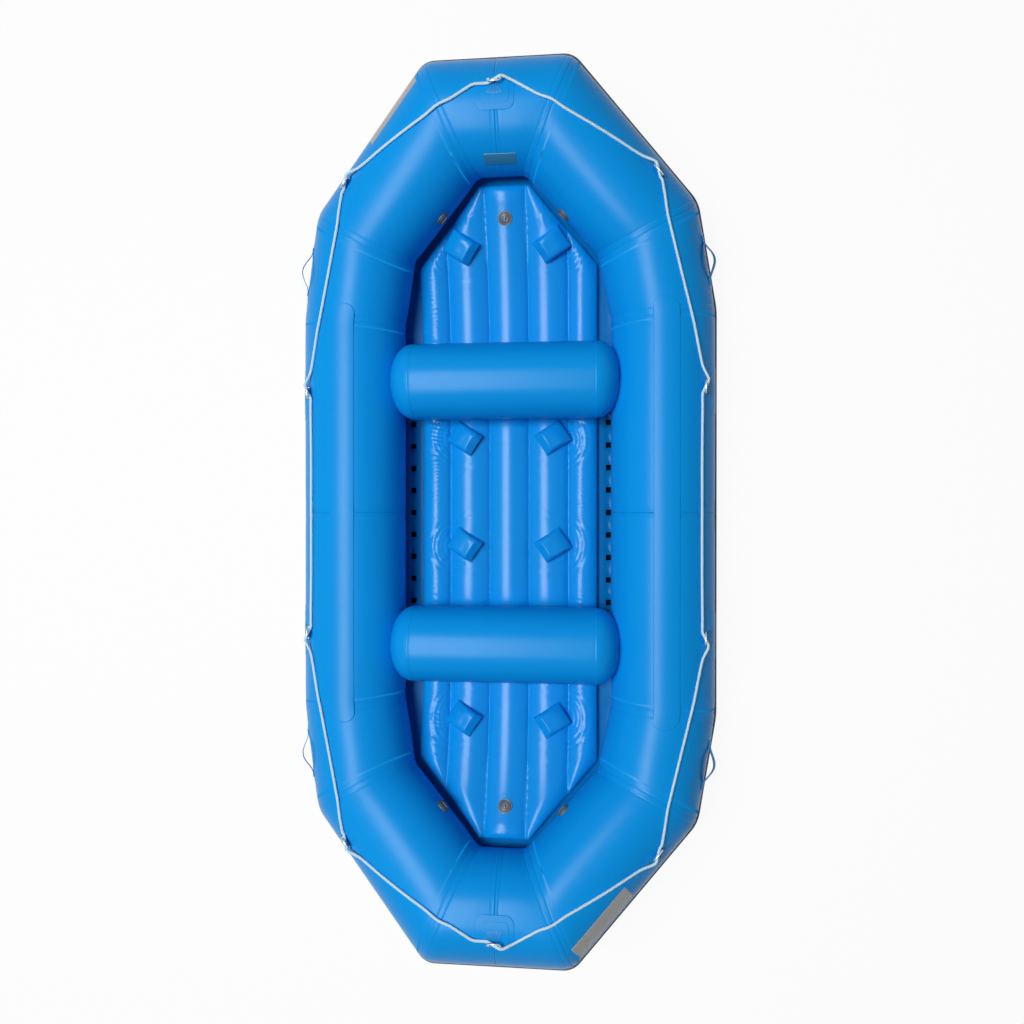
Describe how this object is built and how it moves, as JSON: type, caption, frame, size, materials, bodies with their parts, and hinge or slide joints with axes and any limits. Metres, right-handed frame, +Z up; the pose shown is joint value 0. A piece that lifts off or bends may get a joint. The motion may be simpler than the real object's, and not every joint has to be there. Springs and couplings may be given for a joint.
{
  "type": "whitewater raft",
  "caption": "Inflatable whitewater raft with raised ends, cross thwarts, a channelled air floor, foot cups, a rub strake, grab straps and a line laced through D rings.",
  "frame": {"origin": "on the ground under the middle of the raft", "axes": "+Y towards the bow, +X to starboard, +Z up"},
  "size_m": [1.8592, 3.8, 0.7224],
  "materials": {
    "tube_skin": "coated, satin",
    "chafe_skin": "coated, satin",
    "floor_skin": "coated, satin",
    "webbing": "woven, coated",
    "strake": "matt",
    "stripe": "matt",
    "line": "braided",
    "ring_steel": "polished stainless steel",
    "valve_plastic": "moulded"
  },
  "bodies": {
    "hull": {"chafe_pad_port": "chafe_skin", "chafe_pad_starboard": "chafe_skin", "chamber_bow_port": "tube_skin", "chamber_bow_starboard": "tube_skin", "chamber_stern_port": "tube_skin", "chamber_stern_starboard": "tube_skin", "floor_flange": "floor_skin", "floor_mattress": "floor_skin", "foot_cup_bow_port": "floor_skin", "foot_cup_bow_starboard": "floor_skin", "foot_cup_fore_port": "floor_skin", "foot_cup_fore_starboard": "floor_skin", "foot_cup_mid_port": "floor_skin", "foot_cup_mid_starboard": "floor_skin", "foot_cup_stern_port": "floor_skin", "foot_cup_stern_starboard": "floor_skin", "handle_bow_port": "webbing", "handle_bow_starboard": "webbing", "handle_stern_port": "webbing", "handle_stern_starboard": "webbing", "perimeter_line": "line", "ring_patch_bow": "webbing", "ring_patch_quarter_bow_port": "webbing", "ring_patch_quarter_bow_starboard": "webbing", "ring_patch_quarter_stern_port": "webbing", "ring_patch_quarter_stern_starboard": "webbing", "ring_patch_side_bow_port": "webbing", "ring_patch_side_bow_starboard": "webbing", "ring_patch_side_stern_port": "webbing", "ring_patch_side_stern_starboard": "webbing", "ring_patch_stern": "webbing", "rub_strake": "strake", "strake_stripe_lower": "stripe", "strake_stripe_upper": "stripe", "thwart_bow": "tube_skin", "thwart_stern": "tube_skin", "valve_bow_port": "valve_plastic", "valve_bow_starboard": "valve_plastic", "valve_floor_bow": "valve_plastic", "valve_floor_stern": "valve_plastic", "valve_stern_port": "valve_plastic", "valve_stern_starboard": "valve_plastic"},
    "d_ring_side_bow_port": {"d_ring_side_bow_port": "ring_steel"},
    "d_ring_quarter_bow_port": {"d_ring_quarter_bow_port": "ring_steel"},
    "d_ring_side_bow_starboard": {"d_ring_side_bow_starboard": "ring_steel"},
    "d_ring_quarter_bow_starboard": {"d_ring_quarter_bow_starboard": "ring_steel"},
    "d_ring_side_stern_port": {"d_ring_side_stern_port": "ring_steel"},
    "d_ring_quarter_stern_port": {"d_ring_quarter_stern_port": "ring_steel"},
    "d_ring_side_stern_starboard": {"d_ring_side_stern_starboard": "ring_steel"},
    "d_ring_quarter_stern_starboard": {"d_ring_quarter_stern_starboard": "ring_steel"},
    "d_ring_bow": {"d_ring_bow": "ring_steel"},
    "d_ring_stern": {"d_ring_stern": "ring_steel"},
    "valve_cap_bow_port": {"valve_cap_bow_port": "valve_plastic"},
    "valve_cap_bow_starboard": {"valve_cap_bow_starboard": "valve_plastic"},
    "valve_cap_stern_port": {"valve_cap_stern_port": "valve_plastic"},
    "valve_cap_stern_starboard": {"valve_cap_stern_starboard": "valve_plastic"},
    "valve_cap_floor_bow": {"valve_cap_floor_bow": "valve_plastic"},
    "valve_cap_floor_stern": {"valve_cap_floor_stern": "valve_plastic"}
  },
  "joints": [
    {"name": "d_ring_side_bow_port_swing", "type": "hinge", "parent": "hull", "child": "d_ring_side_bow_port", "pos_m": [-0.86227, 0.53, 0.392], "axis": [0, 1, 0], "range_deg": [-8, 8]},
    {"name": "d_ring_quarter_bow_port_swing", "type": "hinge", "parent": "hull", "child": "d_ring_quarter_bow_port", "pos_m": [-0.6545, 1.40204, 0.51539], "axis": [0.6692, 0.694, 0.2657], "range_deg": [-8, 8]},
    {"name": "d_ring_side_bow_starboard_swing", "type": "hinge", "parent": "hull", "child": "d_ring_side_bow_starboard", "pos_m": [0.86227, 0.53, 0.392], "axis": [0, 1, 0], "range_deg": [-8, 8]},
    {"name": "d_ring_quarter_bow_starboard_swing", "type": "hinge", "parent": "hull", "child": "d_ring_quarter_bow_starboard", "pos_m": [0.6545, 1.40204, 0.51539], "axis": [-0.6692, 0.694, 0.2657], "range_deg": [-8, 8]},
    {"name": "d_ring_side_stern_port_swing", "type": "hinge", "parent": "hull", "child": "d_ring_side_stern_port", "pos_m": [-0.86227, -0.53, 0.392], "axis": [0, -1, 0], "range_deg": [-8, 8]},
    {"name": "d_ring_quarter_stern_port_swing", "type": "hinge", "parent": "hull", "child": "d_ring_quarter_stern_port", "pos_m": [-0.6545, -1.40204, 0.51539], "axis": [0.6692, -0.694, 0.2657], "range_deg": [-8, 8]},
    {"name": "d_ring_side_stern_starboard_swing", "type": "hinge", "parent": "hull", "child": "d_ring_side_stern_starboard", "pos_m": [0.86227, -0.53, 0.392], "axis": [0, -1, 0], "range_deg": [-8, 8]},
    {"name": "d_ring_quarter_stern_starboard_swing", "type": "hinge", "parent": "hull", "child": "d_ring_quarter_stern_starboard", "pos_m": [0.6545, -1.40204, 0.51539], "axis": [-0.6692, -0.694, 0.2657], "range_deg": [-8, 8]},
    {"name": "d_ring_bow_swing", "type": "hinge", "parent": "hull", "child": "d_ring_bow", "pos_m": [0, 1.71957, 0.68662], "axis": [1, 0, 0], "range_deg": [-8, 8]},
    {"name": "d_ring_stern_swing", "type": "hinge", "parent": "hull", "child": "d_ring_stern", "pos_m": [0, -1.71957, 0.68662], "axis": [1, 0, 0], "range_deg": [-8, 8]},
    {"name": "valve_cap_bow_port_turn", "type": "hinge", "parent": "hull", "child": "valve_cap_bow_port", "pos_m": [-0.2623, 1.28187, 0.38352], "axis": [0.7099, -0.7027, 0.0476], "range_deg": [0, 90]},
    {"name": "valve_cap_bow_starboard_turn", "type": "hinge", "parent": "hull", "child": "valve_cap_bow_starboard", "pos_m": [0.2623, 1.28187, 0.38352], "axis": [-0.7099, -0.7027, 0.0476], "range_deg": [0, 90]},
    {"name": "valve_cap_stern_port_turn", "type": "hinge", "parent": "hull", "child": "valve_cap_stern_port", "pos_m": [-0.2623, -1.28187, 0.38352], "axis": [0.7099, 0.7027, 0.0476], "range_deg": [0, 90]},
    {"name": "valve_cap_stern_starboard_turn", "type": "hinge", "parent": "hull", "child": "valve_cap_stern_starboard", "pos_m": [0.2623, -1.28187, 0.38352], "axis": [-0.7099, 0.7027, 0.0476], "range_deg": [0, 90]},
    {"name": "valve_cap_floor_bow_turn", "type": "hinge", "parent": "hull", "child": "valve_cap_floor_bow", "pos_m": [0, 1.31, 0.28575], "axis": [0, -0.4548, 0.8906], "range_deg": [0, 90]},
    {"name": "valve_cap_floor_stern_turn", "type": "hinge", "parent": "hull", "child": "valve_cap_floor_stern", "pos_m": [0, -1.31, 0.28575], "axis": [0, 0.4548, 0.8906], "range_deg": [0, 90]}
  ]
}
